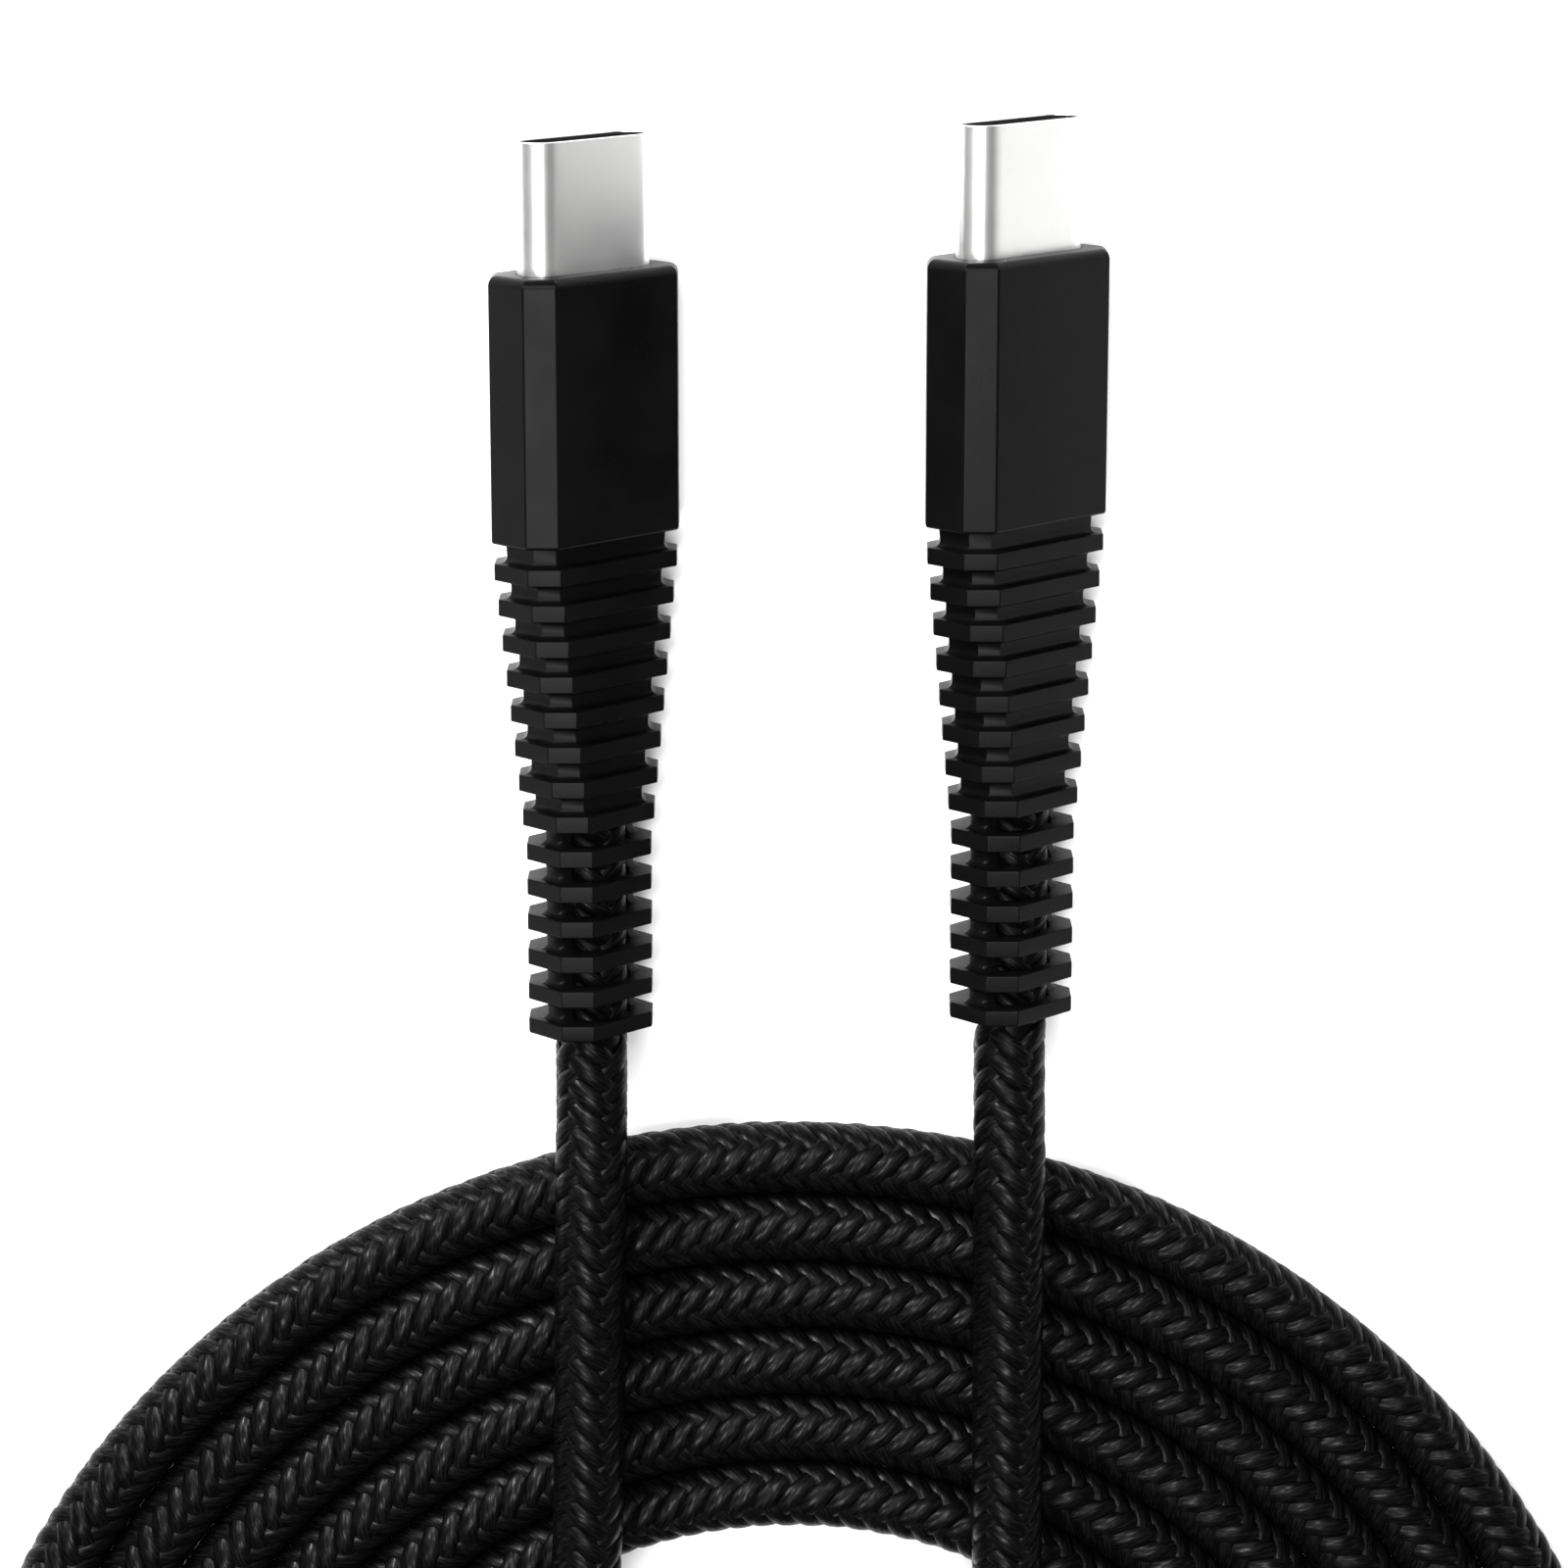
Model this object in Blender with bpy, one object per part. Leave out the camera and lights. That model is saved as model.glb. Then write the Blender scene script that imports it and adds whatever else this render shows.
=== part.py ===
"""A charging cable lying on a table: two slim plugs side by side, each with a ribbed strain
relief, and a long round cord wound into a flat coil in front of them.

+X is to the right, +Y points the way both plug tips point, +Z is up, and the table is z = 0.
The origin is under the middle of the two plugs. Lengths are in metres. Each plug lies on one
of its chamfers, so it is rolled by PLUG_ROLL about its own length. Inside a plug, x is its
width, z its thickness and y its length, with y = 0 at the front face of its housing.
"""

import math

import bmesh
import bpy
from mathutils import Matrix, Vector

MM = 0.001

# Plug housing: an octagonal sleeve.
HOUSING_WIDTH = 10.68 * MM
HOUSING_DEPTH = 4.96 * MM
HOUSING_LENGTH = 13.63 * MM
CHAMFER = 1.18 * MM
SOFT_CORNER = 0.14 * MM
HOUSING_REAR_BORE = 2.3 * MM

# Plug shell: the standard reversible size.
SHELL_WIDTH = 8.25 * MM
SHELL_HEIGHT = 2.40 * MM
SHELL_WALL = 0.28 * MM
SHELL_REACH = 6.65 * MM
SHELL_HIDDEN = 3.3 * MM
SHELL_TURN_STEPS = 7

# Contacts and what holds them.
INSERT_WIDTH = 7.3 * MM
INSERT_HEIGHT = 1.5 * MM
SLOT_WIDTH = 6.6 * MM
SLOT_HEIGHT = 1.0 * MM
INSERT_FRONT = 6.1 * MM
INSERT_REAR = -3.0 * MM
CONTACT_COUNT = 12
CONTACT_PITCH = 0.5 * MM
CONTACT_WIDTH = 0.25 * MM
CONTACT_THICK = 0.15 * MM
CONTACT_HEIGHT = 0.3 * MM
CONTACT_TIP = 5.3 * MM
CONTACT_BAR = 0.8 * MM
LATCH_WIDTH = 6.24 * MM
LATCH_ARM = 0.2 * MM
LATCH_TIP = 4.9 * MM
LATCH_YOKE = 0.5 * MM
LATCH_THICK = 0.2 * MM
SPRING_WIDTH = 4.6 * MM
SPRING_THICK = 0.08 * MM
SPRING_HEIGHT = 0.79 * MM
SPRING_FRONT = 4.2 * MM
SPRING_REAR = -1.6 * MM

# Circuit board, its screening can and the crimped end of the cord.
BOARD_WIDTH = 6.8 * MM
BOARD_THICK = 0.5 * MM
BOARD_FRONT = -4.1 * MM
BOARD_REAR = -9.6 * MM
CHIP_WIDTH = 2.0 * MM
CHIP_THICK = 0.55 * MM
CHIP_FRONT = -6.1 * MM
CHIP_REAR = -8.1 * MM
CAN_WIDTH = 8.6 * MM
CAN_HEIGHT = 3.2 * MM
CAN_WALL = 0.2 * MM
CAN_FRONT = -3.6 * MM
CAN_REAR = -10.3 * MM
CAN_NECK = 0.6 * MM
CAN_NECK_RADIUS = 1.7 * MM
BUNDLE_RADIUS = 1.2 * MM
FERRULE_RADIUS = 2.05 * MM
FERRULE_FRONT = -11.1 * MM
FERRULE_REAR = -13.2 * MM

# Strain relief: ribs with grooves between them, the last grooves cut right through.
RIB_COUNT = 14
RIB_PITCH = 1.87 * MM
RIB_LENGTH = 0.87 * MM
TAPER_RIBS = 9
FIRST_RIB_WIDTH = 10.42 * MM
LAST_RIB_WIDTH = 6.5 * MM
RIB_DEPTH = 4.9 * MM
NECK_INSET = 0.65 * MM
FIRST_WINDOW_RIB = 8
WINDOW_HALF_WIDTH = 1.9 * MM
WINDOW_LIP = 0.06 * MM
WOVEN_BORE = 1.97 * MM
CORE_BORE = 1.55 * MM

# Cord.
CORD_RADIUS = 1.85 * MM
CORE_RADIUS = 1.45 * MM
COIL_HEIGHT = 3.75 * MM
COIL_OUTER = 47.6 * MM
COIL_INNER = 24.8 * MM
COIL_CENTRE = (-0.5 * MM, -77.46 * MM)
COIL_EDGE = 1.5 * MM
COIL_STEPS = 72

# Where the two plugs lie.
PLUG_SPACING = 21.94 * MM
PLUG_STAGGER = 0.84 * MM
PLUG_ROLL = math.radians(45)
BEND_FROM_TAIL = 7.0 * MM

GAP = 0.3 * MM
THIN_GAP = 0.1 * MM
LOOP_POINTS = 16

RELIEF_LENGTH = RIB_COUNT * RIB_PITCH
TAIL = -HOUSING_LENGTH - RELIEF_LENGTH
BEND = TAIL + BEND_FROM_TAIL
WEAVE_FRONT = -HOUSING_LENGTH - FIRST_WINDOW_RIB * RIB_PITCH + GAP
AXIS_HEIGHT = (HOUSING_WIDTH / 2 + HOUSING_DEPTH / 2 - CHAMFER) * math.sin(PLUG_ROLL)
PLUG_LENGTH = SHELL_REACH - TAIL
LEFT_FRONT = PLUG_LENGTH / 2 - SHELL_REACH - PLUG_STAGGER / 2
RIGHT_FRONT = LEFT_FRONT + PLUG_STAGGER

# The cord's route where it isn't wound, in millimetres: chosen by hand, plug end first.
LEFT_ROUTE = [
    (-10.97, -23.9, 4.7),
    (-10.98, -27.5, 5.05),
    (-11.02, -31.5, 5.8),
    (-11.08, -36, 5.92),
    (-11.17, -41, 5.9),
    (-11.28, -46.5, 5.9),
    (-11.42, -52, 5.92),
    (-11.7, -56.5, 5.75),
    (-12.8, -61, 4.85),
    (-14.8, -65.3, 3.4),
    (-17.3, -69.5, 2.3),
    (-19.7, -73.8, 1.95),
    (-21.5, -78.5, 1.9),
    (-22.1, -83, 1.9),
    (-21.25, -86.6, 1.9),
    (-19.71, -89.46, 1.9),
]
RIGHT_ROUTE = [
    (10.97, -23.06, 4.7),
    (10.97, -27, 5.05),
    (10.98, -31.2, 5.8),
    (10.99, -36, 5.92),
    (11.02, -42, 5.9),
    (11.06, -49, 5.9),
    (11.12, -55.5, 5.88),
    (11.25, -62.5, 5.6),
    (11.4, -70, 5.35),
    (11.55, -77.5, 5.3),
    (11.5, -85, 5.45),
    (10.1, -93.5, 5.75),
    (6.1, -101.4, 5.92),
    (-0.1, -107.6, 5.92),
    (-7.9, -111.6, 5.92),
    (-16.5, -113, 5.92),
    (-25.2, -111.6, 5.92),
    (-33, -107.6, 5.92),
    (-38, -103, 5.92),
    (-40.8, -99, 5.92),
]
ROUTE_STEP = 4.6 * MM


def clear_scene():
    for thing in list(bpy.data.objects):
        bpy.data.objects.remove(thing, do_unlink=True)


def material(name, colour, roughness, metallic=0.0):
    made = bpy.data.materials.new(name)
    made.use_nodes = True
    shader = made.node_tree.nodes["Principled BSDF"]
    shader.inputs["Base Color"].default_value = (*colour, 1.0)
    shader.inputs["Roughness"].default_value = roughness
    shader.inputs["Metallic"].default_value = metallic
    made.diffuse_color = (*colour, 1.0)
    return made


def octagon(width, depth, chamfer, soft=0.0):
    """An octagon's outline in x and z, 16 points: each corner cut by soft, or edge middles."""
    half_w = width / 2
    half_d = depth / 2
    corners = [
        Vector((half_w, half_d - chamfer)),
        Vector((half_w - chamfer, half_d)),
        Vector((chamfer - half_w, half_d)),
        Vector((-half_w, half_d - chamfer)),
        Vector((-half_w, chamfer - half_d)),
        Vector((chamfer - half_w, -half_d)),
        Vector((half_w - chamfer, -half_d)),
        Vector((half_w, chamfer - half_d)),
    ]
    points = []
    for i, corner in enumerate(corners):
        before = corners[i - 1]
        after = corners[(i + 1) % len(corners)]
        if soft:
            points.append(corner + (before - corner).normalized() * soft)
            points.append(corner + (after - corner).normalized() * soft)
        else:
            points.append(corner)
            points.append((corner + after) / 2)
    return points


def stadium(width, height, steps):
    """A slot outline with fully round ends, 2 * (steps + 1) points."""
    radius = height / 2
    reach = width / 2 - radius
    points = []
    for side in (1, -1):
        for i in range(steps + 1):
            angle = math.pi * (i / steps - 0.5)
            if side < 0:
                angle += math.pi
            points.append(
                Vector((side * reach + radius * math.cos(angle), radius * math.sin(angle)))
            )
    return points


def rectangle(width, height):
    """A rectangle of 16 points whose corners and edge middles match those of a circle."""
    points = []
    for i in range(LOOP_POINTS):
        angle = 2 * math.pi * (i + 0.5) / LOOP_POINTS
        x = math.cos(angle)
        z = math.sin(angle)
        reach = max(abs(x), abs(z))
        points.append(Vector((x / reach * width / 2, z / reach * height / 2)))
    return points


def circle(radius):
    points = []
    for i in range(LOOP_POINTS):
        angle = 2 * math.pi * (i + 0.5) / LOOP_POINTS
        points.append(Vector((radius * math.cos(angle), radius * math.sin(angle))))
    return points


def mesh_object(name, mesh_maker, look, parent=None):
    """An object whose mesh is filled by mesh_maker(bmesh), facing out."""
    shape = bmesh.new()
    mesh_maker(shape)
    bmesh.ops.recalc_face_normals(shape, faces=shape.faces)
    mesh = bpy.data.meshes.new(name)
    shape.to_mesh(mesh)
    shape.free()
    mesh.materials.append(look)
    made = bpy.data.objects.new(name, mesh)
    bpy.context.scene.collection.objects.link(made)
    made.parent = parent
    return made


def skin(shape, loops, ring):
    """Quads between loops of equal length. A ring joins the last loop to the first."""
    rows = []
    for y, outline in loops:
        rows.append([shape.verts.new((p.x, y, p.y)) for p in outline])
    pairs = list(zip(rows, rows[1:] + rows[:1]))
    if not ring:
        pairs = pairs[:-1]
        shape.faces.new(rows[0])
        shape.faces.new(rows[-1])
    for one, two in pairs:
        for i in range(len(one)):
            j = (i + 1) % len(one)
            shape.faces.new((one[i], one[j], two[j], two[i]))


def sleeve(name, loops, look, parent):
    return mesh_object(name, lambda shape: skin(shape, loops, True), look, parent)


def rod(name, loops, look, parent):
    return mesh_object(name, lambda shape: skin(shape, loops, False), look, parent)


def plate(name, outline, low, high, look, parent):
    """A flat outline in x and y, thickened from low to high in z."""

    def fill(shape):
        bottom = [shape.verts.new((x, y, low)) for x, y in outline]
        top = [shape.verts.new((x, y, high)) for x, y in outline]
        shape.faces.new(bottom)
        shape.faces.new(top)
        for i in range(len(outline)):
            j = (i + 1) % len(outline)
            shape.faces.new((bottom[i], bottom[j], top[j], top[i]))

    return mesh_object(name, fill, look, parent)


def block_outline(half_width, rear, front):
    return [(-half_width, rear), (half_width, rear), (half_width, front), (-half_width, front)]


def usb_shell(name, look, parent):
    """Seamless metal tube with a slightly drawn-in mouth."""
    inner_width = SHELL_WIDTH - 2 * SHELL_WALL
    inner_height = SHELL_HEIGHT - 2 * SHELL_WALL
    draw_in = 0.12 * MM
    outer = stadium(SHELL_WIDTH, SHELL_HEIGHT, SHELL_TURN_STEPS)
    rim = stadium(SHELL_WIDTH - draw_in, SHELL_HEIGHT - draw_in, SHELL_TURN_STEPS)
    inner = stadium(inner_width, inner_height, SHELL_TURN_STEPS)
    mouth = stadium(inner_width + draw_in, inner_height + draw_in, SHELL_TURN_STEPS)
    loops = [
        (SHELL_REACH, rim),
        (SHELL_REACH - draw_in, outer),
        (-SHELL_HIDDEN, outer),
        (-SHELL_HIDDEN, inner),
        (SHELL_REACH - draw_in, inner),
        (SHELL_REACH, mouth),
    ]
    return sleeve(name, loops, look, parent)


def contact_insert(name, look, parent):
    """Moulded insert that lines the shell, open from front to back."""
    outer = stadium(INSERT_WIDTH, INSERT_HEIGHT, SHELL_TURN_STEPS)
    slot = stadium(SLOT_WIDTH, SLOT_HEIGHT, SHELL_TURN_STEPS)
    loops = [
        (INSERT_FRONT, outer),
        (INSERT_REAR, outer),
        (INSERT_REAR, slot),
        (INSERT_FRONT, slot),
    ]
    return sleeve(name, loops, look, parent)


def contact_row(name, look, parent, side):
    """A comb of spring contacts on one carrier bar, above the board or below it."""
    bar_front = INSERT_REAR - GAP
    bar_rear = BOARD_FRONT - CONTACT_BAR
    span = (CONTACT_COUNT - 1) / 2 * CONTACT_PITCH
    edge = span + CONTACT_WIDTH / 2
    outline = [(edge, bar_rear), (-edge, bar_rear)]
    for i in range(CONTACT_COUNT):
        centre = i * CONTACT_PITCH - span
        left = centre - CONTACT_WIDTH / 2
        right = centre + CONTACT_WIDTH / 2
        if i:
            outline.append((left, bar_front))
        outline.append((left, CONTACT_TIP))
        outline.append((right, CONTACT_TIP))
        if i < CONTACT_COUNT - 1:
            outline.append((right, bar_front))
    near = side * CONTACT_HEIGHT
    far = side * (CONTACT_HEIGHT + CONTACT_THICK)
    return plate(name, outline, near, far, look, parent)


def latch_plate(name, look, parent):
    """Flat steel fork between the contact rows; its two arms catch in the socket."""
    arm_outer = LATCH_WIDTH / 2
    arm_inner = arm_outer - LATCH_ARM
    yoke_front = INSERT_REAR - GAP
    yoke_rear = yoke_front - LATCH_YOKE
    outline = [
        (-arm_outer, yoke_rear),
        (arm_outer, yoke_rear),
        (arm_outer, LATCH_TIP),
        (arm_inner, LATCH_TIP),
        (arm_inner, yoke_front),
        (-arm_inner, yoke_front),
        (-arm_inner, LATCH_TIP),
        (-arm_outer, LATCH_TIP),
    ]
    return plate(name, outline, -LATCH_THICK / 2, LATCH_THICK / 2, look, parent)


def ground_spring(name, look, parent, side):
    """Thin spring plate between the insert and the shell."""
    near = side * SPRING_HEIGHT
    far = side * (SPRING_HEIGHT + SPRING_THICK)
    outline = block_outline(SPRING_WIDTH / 2, SPRING_REAR, SPRING_FRONT)
    return plate(name, outline, near, far, look, parent)


def circuit_board(name, look, parent):
    outline = block_outline(BOARD_WIDTH / 2, BOARD_REAR, BOARD_FRONT)
    return plate(name, outline, -BOARD_THICK / 2, BOARD_THICK / 2, look, parent)


def marker_chip(name, look, parent):
    bottom = BOARD_THICK / 2 + THIN_GAP
    outline = block_outline(CHIP_WIDTH / 2, CHIP_REAR, CHIP_FRONT)
    return plate(name, outline, bottom, bottom + CHIP_THICK, look, parent)


def shield_can(name, look, parent):
    """Folded can round the board, drawn in to a collar for the wires."""
    outer = rectangle(CAN_WIDTH, CAN_HEIGHT)
    inner = rectangle(CAN_WIDTH - 2 * CAN_WALL, CAN_HEIGHT - 2 * CAN_WALL)
    collar = circle(CAN_NECK_RADIUS)
    collar_bore = circle(CAN_NECK_RADIUS - CAN_WALL)
    loops = [
        (CAN_FRONT, outer),
        (CAN_REAR, outer),
        (CAN_REAR - CAN_NECK / 2, collar),
        (CAN_REAR - CAN_NECK, collar),
        (CAN_REAR - CAN_NECK, collar_bore),
        (CAN_REAR - CAN_NECK / 2 + CAN_WALL, collar_bore),
        (CAN_REAR + CAN_WALL, inner),
        (CAN_FRONT, inner),
    ]
    return sleeve(name, loops, look, parent)


def wire_bundle(name, look, parent):
    outline = circle(BUNDLE_RADIUS)
    ends = [(BOARD_REAR - THIN_GAP, outline), (FERRULE_FRONT - THIN_GAP, outline)]
    return rod(name, ends, look, parent)


def crimp_ferrule(name, look, parent):
    outer = circle(FERRULE_RADIUS)
    inner = circle(CORE_RADIUS + THIN_GAP)
    loops = [
        (FERRULE_FRONT, outer),
        (FERRULE_REAR, outer),
        (FERRULE_REAR, inner),
        (FERRULE_FRONT, inner),
    ]
    return sleeve(name, loops, look, parent)


def cord_end(name, look, parent):
    """The cord's own end, from the crimp to the relief's tail; the weave stops part way."""
    core = circle(CORE_RADIUS)
    woven = circle(CORD_RADIUS)
    loops = [
        (FERRULE_FRONT - GAP, core),
        (WEAVE_FRONT, core),
        (WEAVE_FRONT, woven),
        (TAIL, woven),
    ]
    return rod(name, loops, look, parent)


def housing(name, look, parent):
    """Octagonal grip, softened at both ends, with a stepped cavity right through it."""
    round_over = 0.5 * MM
    steps = 3
    loops = []
    for i in range(steps + 1):
        angle = math.pi / 2 * i / steps
        inset = 2 * round_over * (1 - math.sin(angle))
        y = -round_over * (1 - math.cos(angle))
        outline = octagon(HOUSING_WIDTH - inset, HOUSING_DEPTH - inset, CHAMFER, SOFT_CORNER)
        loops.append((y, outline))
    tail_round = 0.2 * MM
    full = octagon(HOUSING_WIDTH, HOUSING_DEPTH, CHAMFER, SOFT_CORNER)
    tail = octagon(
        HOUSING_WIDTH - 2 * tail_round, HOUSING_DEPTH - 2 * tail_round, CHAMFER, SOFT_CORNER
    )
    shell_hole = stadium(SHELL_WIDTH + 2 * THIN_GAP, SHELL_HEIGHT + 2 * THIN_GAP, SHELL_TURN_STEPS)
    # The cavity's outlines start at the same corner as the octagon's.
    shell_hole = shell_hole[4:] + shell_hole[:4]
    pocket = rectangle(CAN_WIDTH + 2 * GAP, CAN_HEIGHT + 2 * GAP)
    bore = circle(HOUSING_REAR_BORE)
    loops += [
        (-HOUSING_LENGTH + tail_round, full),
        (-HOUSING_LENGTH, tail),
        (-HOUSING_LENGTH, bore),
        (CAN_REAR - CAN_NECK - 0.2 * MM, bore),
        (CAN_REAR - THIN_GAP, pocket),
        (-SHELL_HIDDEN, pocket),
        (-SHELL_HIDDEN + 0.2 * MM, shell_hole),
        (0.0, shell_hole),
    ]
    return sleeve(name, loops, look, parent)


def rib_width(index):
    """Width of one rib: an even taper, then constant. index counts from the housing."""
    share = min(index, TAPER_RIBS - 1) / (TAPER_RIBS - 1)
    return FIRST_RIB_WIDTH + (LAST_RIB_WIDTH - FIRST_RIB_WIDTH) * share


def strain_relief(name, look, parent):
    """Ribbed sleeve. Its last grooves are windows on both broad sides, with side webs left."""
    front = -HOUSING_LENGTH - THIN_GAP
    loops = []
    for i in range(RIB_COUNT):
        groove = -HOUSING_LENGTH - i * RIB_PITCH
        rib_front = groove - (RIB_PITCH - RIB_LENGTH)
        rib_rear = groove - RIB_PITCH
        width = rib_width(i)
        inset = 2 * NECK_INSET
        neck = octagon(width - inset, RIB_DEPTH - inset, CHAMFER - NECK_INSET / 2)
        rib = octagon(width, RIB_DEPTH, CHAMFER)
        loops.append((front if i == 0 else groove, neck))
        loops.append((rib_front, neck))
        loops.append((rib_front, rib))
        loops.append((rib_rear, rib))
    bore = circle(CORE_BORE)
    loops += [(TAIL, bore), (front, bore)]
    made = sleeve(name, loops, look, parent)
    wide_end = [(WEAVE_FRONT + THIN_GAP, circle(WOVEN_BORE)), (TAIL - MM, circle(WOVEN_BORE))]
    cutters = {
        "windows": window_cutter(name + "_windows", look, parent),
        "wide_bore": rod(name + "_wide_bore", wide_end, look, parent),
    }
    for label, cutter in cutters.items():
        cutter.hide_render = True
        cutter.display_type = "WIRE"
        made.modifiers.new(label, "BOOLEAN").object = cutter
    return [made, *cutters.values()]


def window_cutter(name, look, parent):
    """Slots, one for each open groove, in one mesh."""

    def fill(shape):
        for i in range(FIRST_WINDOW_RIB, RIB_COUNT):
            top = -HOUSING_LENGTH - i * RIB_PITCH - WINDOW_LIP
            bottom = top - (RIB_PITCH - RIB_LENGTH) + 2 * WINDOW_LIP
            size = (2 * WINDOW_HALF_WIDTH, top - bottom, 2 * RIB_DEPTH)
            place = Matrix.Translation((0, (top + bottom) / 2, 0)) @ Matrix.Diagonal((*size, 1))
            bmesh.ops.create_cube(shape, size=1.0, matrix=place)

    return mesh_object(name, fill, look, parent)


def smooth_route(points, step):
    """Points at an even spacing on a smooth curve through the given points."""
    ends = [points[0] * 2 - points[1], *points, points[-1] * 2 - points[-2]]
    fine = []
    parts = 24
    for i in range(1, len(ends) - 2):
        a, b, c, d = ends[i - 1 : i + 3]
        for k in range(parts):
            t = k / parts
            fine.append(
                (
                    b * 2
                    + (c - a) * t
                    + (a * 2 - b * 5 + c * 4 - d) * t**2
                    + (b * 3 - a - c * 3 + d) * t**3
                )
                / 2
            )
    fine.append(points[-1])
    lengths = [0.0]
    for one, two in zip(fine, fine[1:]):
        lengths.append(lengths[-1] + (two - one).length)
    count = max(2, round(lengths[-1] / step))
    even = []
    k = 0
    for n in range(count + 1):
        at = lengths[-1] * n / count
        while k < len(fine) - 2 and lengths[k + 1] < at:
            k += 1
        share = (at - lengths[k]) / (lengths[k + 1] - lengths[k])
        even.append(fine[k].lerp(fine[k + 1], min(1.0, share)))
    return even


def cord_lead(name, route, look):
    """A plain tube along an uncoiled stretch of the cord."""
    points = smooth_route([Vector(p) * MM for p in route], ROUTE_STEP)
    curve = bpy.data.curves.new(name, "CURVE")
    curve.dimensions = "3D"
    curve.bevel_depth = CORD_RADIUS
    curve.bevel_resolution = 2
    curve.use_fill_caps = True
    line = curve.splines.new("POLY")
    line.points.add(len(points) - 1)
    for slot, point in zip(line.points, points):
        slot.co = (*point, 1.0)
    curve.materials.append(look)
    made = bpy.data.objects.new(name, curve)
    bpy.context.scene.collection.objects.link(made)
    return made


def cord_coil(name, look):
    """The outer shape of the flat coil: a turned ring with rounded edges."""
    middle = (COIL_OUTER + COIL_INNER) / 2
    half_width = (COIL_OUTER - COIL_INNER) / 2
    corners = [
        (half_width - COIL_EDGE, COIL_HEIGHT - COIL_EDGE, 0),
        (COIL_EDGE - half_width, COIL_HEIGHT - COIL_EDGE, 90),
        (COIL_EDGE - half_width, COIL_EDGE, 180),
        (half_width - COIL_EDGE, COIL_EDGE, 270),
    ]
    profile = []
    for x, z, start in corners:
        for turn in (0, 45, 90):
            angle = math.radians(start + turn)
            profile.append(
                (middle + x + COIL_EDGE * math.cos(angle), z + COIL_EDGE * math.sin(angle))
            )

    def fill(shape):
        rows = []
        for i in range(COIL_STEPS):
            turn = Matrix.Rotation(2 * math.pi * i / COIL_STEPS, 3, "Z")
            rows.append([shape.verts.new(turn @ Vector((r, 0, z))) for r, z in profile])
        for one, two in zip(rows, rows[1:] + rows[:1]):
            for i in range(len(profile)):
                j = (i + 1) % len(profile)
                shape.faces.new((one[i], one[j], two[j], two[i]))

    made = mesh_object(name, fill, look)
    made.location = (*COIL_CENTRE, 0)
    return made


def plug(side, place, looks):
    """One whole plug under an empty on its bending axis. place is (x, y) of its front face."""
    x, front = place
    pivot = bpy.data.objects.new(side + "_bend_axis", None)
    bpy.context.scene.collection.objects.link(pivot)
    pivot.location = (x, front + BEND, AXIS_HEIGHT)
    pivot.rotation_euler = (0, PLUG_ROLL, 0)
    pieces = [
        usb_shell(side + "_usb_shell", looks["shell"], pivot),
        contact_insert(side + "_contact_insert", looks["insert"], pivot),
        contact_row(side + "_contacts_upper", looks["contact"], pivot, 1),
        contact_row(side + "_contacts_lower", looks["contact"], pivot, -1),
        latch_plate(side + "_latch_plate", looks["spring"], pivot),
        ground_spring(side + "_ground_spring_upper", looks["spring"], pivot, 1),
        ground_spring(side + "_ground_spring_lower", looks["spring"], pivot, -1),
        circuit_board(side + "_circuit_board", looks["board"], pivot),
        marker_chip(side + "_marker_chip", looks["chip"], pivot),
        shield_can(side + "_shield_can", looks["can"], pivot),
        wire_bundle(side + "_wire_bundle", looks["wire"], pivot),
        crimp_ferrule(side + "_crimp_ferrule", looks["ferrule"], pivot),
        cord_end(side + "_cord_end", looks["cord"], pivot),
        housing(side + "_housing", looks["housing"], pivot),
        *strain_relief(side + "_strain_relief", looks["relief"], pivot),
    ]
    for piece in pieces:
        piece.data.transform(Matrix.Translation((0, -BEND, 0)))
        piece.data.set_sharp_from_angle(angle=math.radians(30))


def main():
    clear_scene()
    looks = {
        "shell": material("plated_steel", (0.72, 0.72, 0.71), 0.22, 1.0),
        "insert": material("insert_plastic", (0.03, 0.03, 0.032), 0.45),
        "contact": material("gold_plate", (0.83, 0.65, 0.32), 0.28, 1.0),
        "spring": material("spring_steel", (0.60, 0.60, 0.60), 0.30, 1.0),
        "board": material("board_laminate", (0.02, 0.09, 0.05), 0.50),
        "chip": material("chip_resin", (0.02, 0.02, 0.02), 0.50),
        "can": material("tinned_can", (0.62, 0.63, 0.64), 0.35, 1.0),
        "wire": material("wire_jackets", (0.55, 0.08, 0.06), 0.55),
        "ferrule": material("ferrule_brass", (0.78, 0.60, 0.28), 0.35, 1.0),
        "cord": material("woven_jacket", (0.018, 0.018, 0.02), 0.60),
        "housing": material("housing_plastic", (0.025, 0.025, 0.026), 0.48),
        "relief": material("relief_rubber", (0.025, 0.025, 0.026), 0.50),
    }
    plug("left", (-PLUG_SPACING / 2, LEFT_FRONT), looks)
    plug("right", (PLUG_SPACING / 2, RIGHT_FRONT), looks)
    cord_lead("cord_lead_left", LEFT_ROUTE, looks["cord"])
    cord_lead("cord_lead_right", RIGHT_ROUTE, looks["cord"])
    cord_coil("cord_coil", looks["cord"])
    bpy.context.view_layer.update()


main()
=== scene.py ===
"""The looks of a charging cable: woven cord, ribbed strain reliefs, housings and shells."""

import math

import bpy
import numpy as np
from mathutils import Matrix, Vector


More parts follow.
